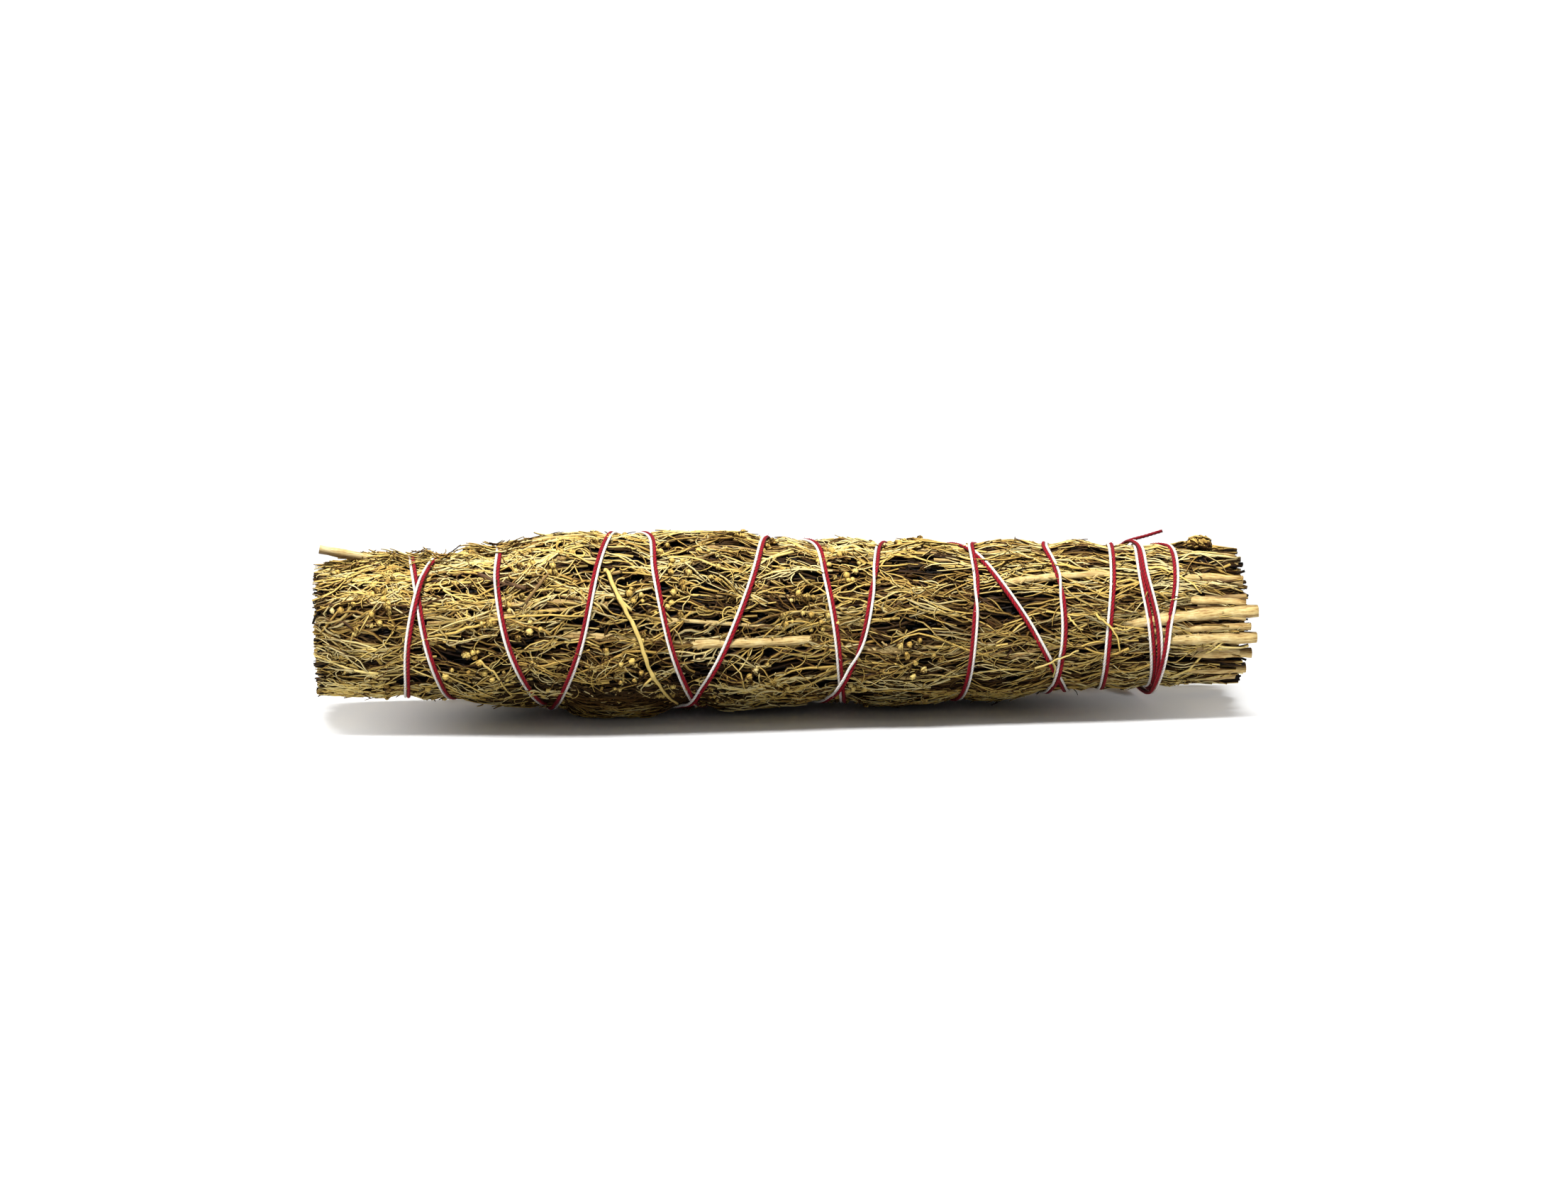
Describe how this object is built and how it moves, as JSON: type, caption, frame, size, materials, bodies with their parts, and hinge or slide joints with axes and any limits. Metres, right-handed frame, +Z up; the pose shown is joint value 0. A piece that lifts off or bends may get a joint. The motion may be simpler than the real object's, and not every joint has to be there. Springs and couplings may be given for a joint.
{
  "type": "desert sage smudge stick",
  "caption": "Bundle of dried desert sage sprigs laid side by side and bound with crisscrossed red and white cotton threads, lying on its side.",
  "frame": {"origin": "under the middle of the bundle, on the surface that it lies on", "axes": "+X along the bundle from its leafy tips to its cut stems, +Z up, -Y towards the side that the picture shows"},
  "size_m": [0.2192, 0.0432, 0.0429],
  "materials": {
    "sage_outer": "dried olive-gold sage leaves, buds and stems, matt and brittle",
    "sage_inner": "dried sage stems and leaves packed in the middle, matt",
    "twig": "bare pale golden twig with fine lengthwise striations, satin",
    "thread_red": "crimson twisted cotton thread",
    "thread_white": "off-white twisted cotton thread"
  },
  "bodies": {
    "root": {"outer_sprig_1": "sage_outer", "outer_sprig_2": "sage_outer", "outer_sprig_3": "sage_outer", "outer_sprig_4": "sage_outer", "outer_sprig_5": "sage_outer", "outer_sprig_6": "sage_outer", "outer_sprig_7": "sage_outer", "outer_sprig_8": "sage_outer", "outer_sprig_9": "sage_outer", "outer_sprig_10": "sage_outer", "inner_sprig_1": "sage_inner", "inner_sprig_2": "sage_inner", "inner_sprig_3": "sage_inner", "inner_sprig_4": "sage_inner", "crossing_twig": "twig", "red_thread": "thread_red", "white_thread": "thread_white"}
  },
  "joints": []
}
